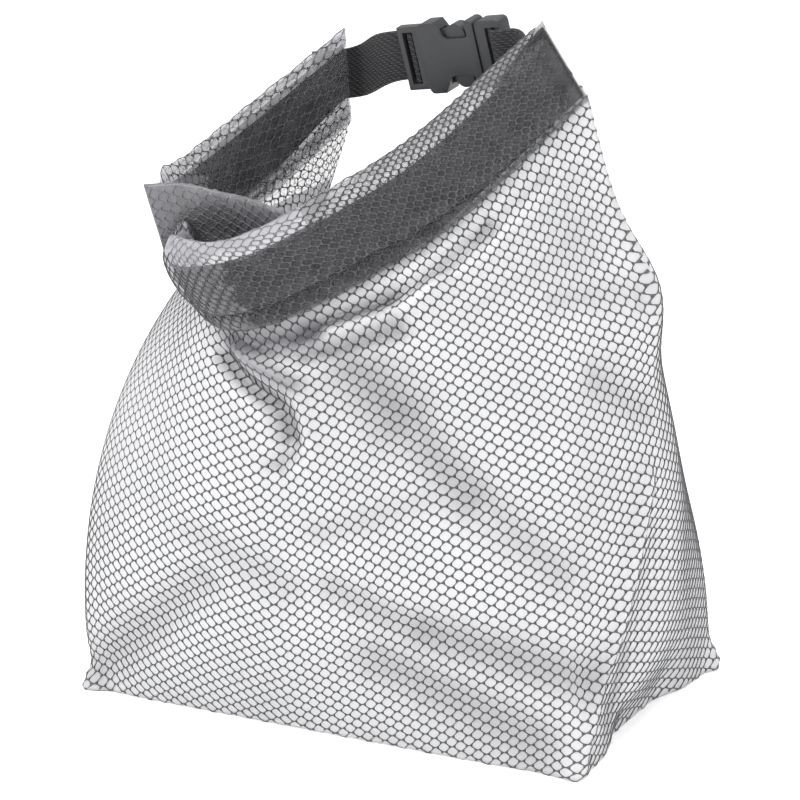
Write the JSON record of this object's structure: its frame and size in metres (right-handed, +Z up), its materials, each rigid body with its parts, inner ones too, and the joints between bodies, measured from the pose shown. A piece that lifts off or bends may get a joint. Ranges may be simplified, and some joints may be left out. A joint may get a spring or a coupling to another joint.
{
  "type": "roll-top waterproof bag",
  "caption": "Small roll-top dry bag of milky net-reinforced film on a boxed base, its mouth rolled on webbing, bent into a loop and closed by a side-release buckle.",
  "frame": {"origin": "middle of the flat base, on the surface it stands on", "axes": "+Z up, -Y to the front panel, +X to the end where the roll meets the buckle"},
  "size_m": [0.1707, 0.1121, 0.2064],
  "materials": {
    "film": "milky clear soft film",
    "film_roll": "clear soft film",
    "webbing_band": "woven, matt",
    "webbing_strap": "twill woven, matt",
    "buckle": "moulded, fine grain"
  },
  "bodies": {
    "root": {"film_body": "film", "rolled_top": "film_roll", "roll_webbing": "webbing_band", "strap_rear": "webbing_strap", "strap_front": "webbing_strap", "buckle_socket": "buckle", "buckle_prongs": "buckle"}
  },
  "joints": []
}
